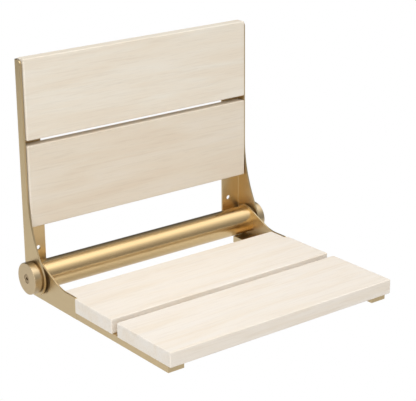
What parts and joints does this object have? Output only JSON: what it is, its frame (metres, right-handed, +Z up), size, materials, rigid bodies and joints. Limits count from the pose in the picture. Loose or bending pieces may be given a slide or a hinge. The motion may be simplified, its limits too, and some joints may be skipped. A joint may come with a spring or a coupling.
{
  "type": "folding shower seat",
  "caption": "Wall-mounted shower seat with a slatted backrest on a gold metal frame; the slatted seat folds up about a thick round tube.",
  "frame": {"origin": "on the wall plane, midway between the two lower wall holes, 38 mm above and 31 mm behind the hinge axis", "axes": "+X to the right across the seat, seen from in front of it; +Y into the wall; +Z up"},
  "size_m": [0.4966, 0.4094, 0.4122],
  "materials": {
    "brushed_gold": "brushed champagne gold coating on steel, satin",
    "gold_screw": "satin champagne gold",
    "whitewashed_wood": "whitewashed, fine straight grain, matte oil",
    "bare_steel": "turned stainless steel",
    "bearing_plastic": "dark moulded bearing plastic",
    "pad_rubber": "matte black hard rubber"
  },
  "bodies": {
    "wall_frame": {"back_slat_screws": "bare_steel", "left_cap_screw": "gold_screw", "left_cap_spacer": "brushed_gold", "left_end_cap": "brushed_gold", "left_pivot_pin": "bare_steel", "left_upright": "brushed_gold", "lower_back_slat": "whitewashed_wood", "right_cap_screw": "gold_screw", "right_cap_spacer": "brushed_gold", "right_end_cap": "brushed_gold", "right_pivot_pin": "bare_steel", "right_upright": "brushed_gold", "upper_back_slat": "whitewashed_wood"},
    "seat": {"front_seat_slat": "whitewashed_wood", "hinge_tube": "brushed_gold", "left_bush": "bearing_plastic", "left_heel_block": "brushed_gold", "left_seat_arm": "brushed_gold", "left_seat_rail": "brushed_gold", "left_stop_pad": "pad_rubber", "left_tube_hub": "bare_steel", "rear_seat_slat": "whitewashed_wood", "right_bush": "bearing_plastic", "right_heel_block": "brushed_gold", "right_seat_arm": "brushed_gold", "right_seat_rail": "brushed_gold", "right_stop_pad": "pad_rubber", "right_tube_hub": "bare_steel", "seat_slat_screws": "bare_steel"}
  },
  "joints": [
    {"name": "seat_fold", "type": "hinge", "parent": "wall_frame", "child": "seat", "pos_m": [0, -0.031, -0.038], "axis": [-1, 0, 0], "range_deg": [0, 91]}
  ]
}
